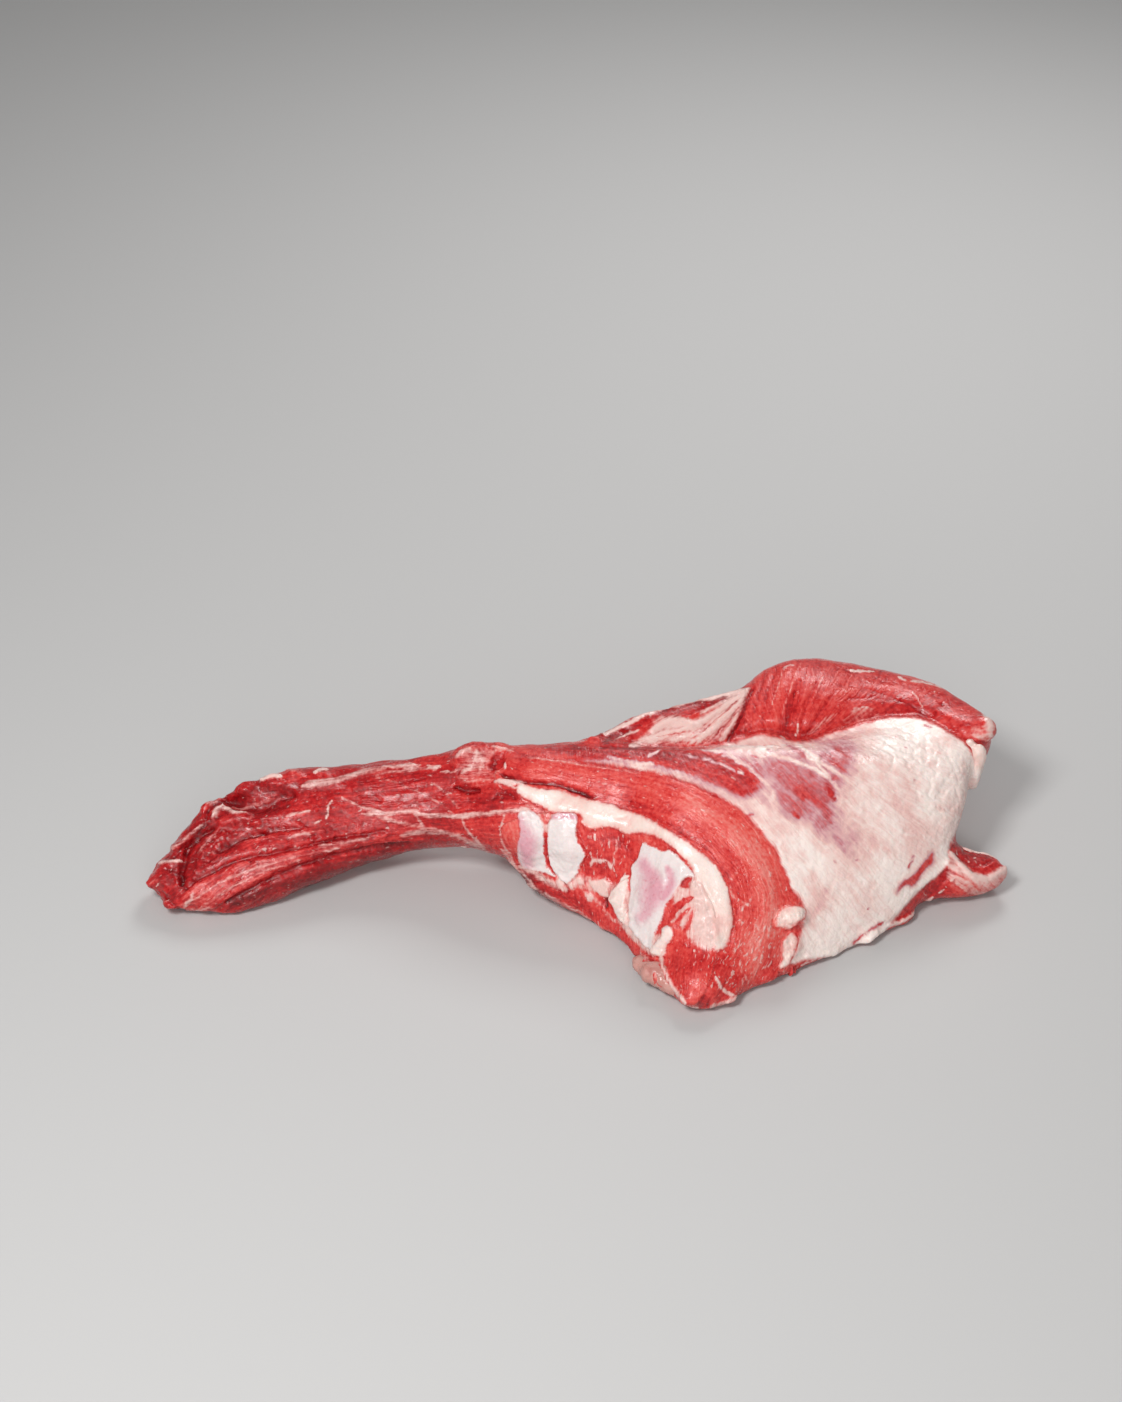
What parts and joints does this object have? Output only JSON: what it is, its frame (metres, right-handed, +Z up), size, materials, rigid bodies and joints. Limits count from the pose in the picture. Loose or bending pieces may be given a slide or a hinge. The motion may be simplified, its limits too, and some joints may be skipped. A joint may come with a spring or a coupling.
{
  "type": "raw bone-in veal breast",
  "caption": "Raw bone-in breast of veal with a long tail of flank, a membrane over its dome, a rolled muscle along its back, and a cut face with bones under a seam of fat.",
  "frame": {"origin": "on the surface that it lies on, under the middle of the whole outline", "axes": "+X along its length towards the broad end with the loose flap, +Y away from the cut face, +Z up"},
  "size_m": [0.4908, 0.2326, 0.092],
  "materials": {
    "meat": "moist raw muscle, red and pink with pale fibres, part covered by a thin silvery membrane",
    "membrane": "thin silvery-cream membrane stretched over pink meat, fine streaks, moist satin sheen",
    "fat": "moist cream-white fat, lumpy, satin",
    "bone": "sawn young bone, off-white with a lilac middle, satin",
    "cartilage": "smooth pearl-white cartilage, wet sheen"
  },
  "bodies": {
    "root": {"meat": "meat", "fat_seam": "fat", "bone_1": "bone", "bone_2": "bone", "bone_3": "bone", "cartilage_strip": "cartilage", "cartilage_knuckle": "cartilage", "under_fat": "fat", "fat_nub": "fat", "fat_strip": "fat", "fat_tab": "fat"}
  },
  "joints": []
}
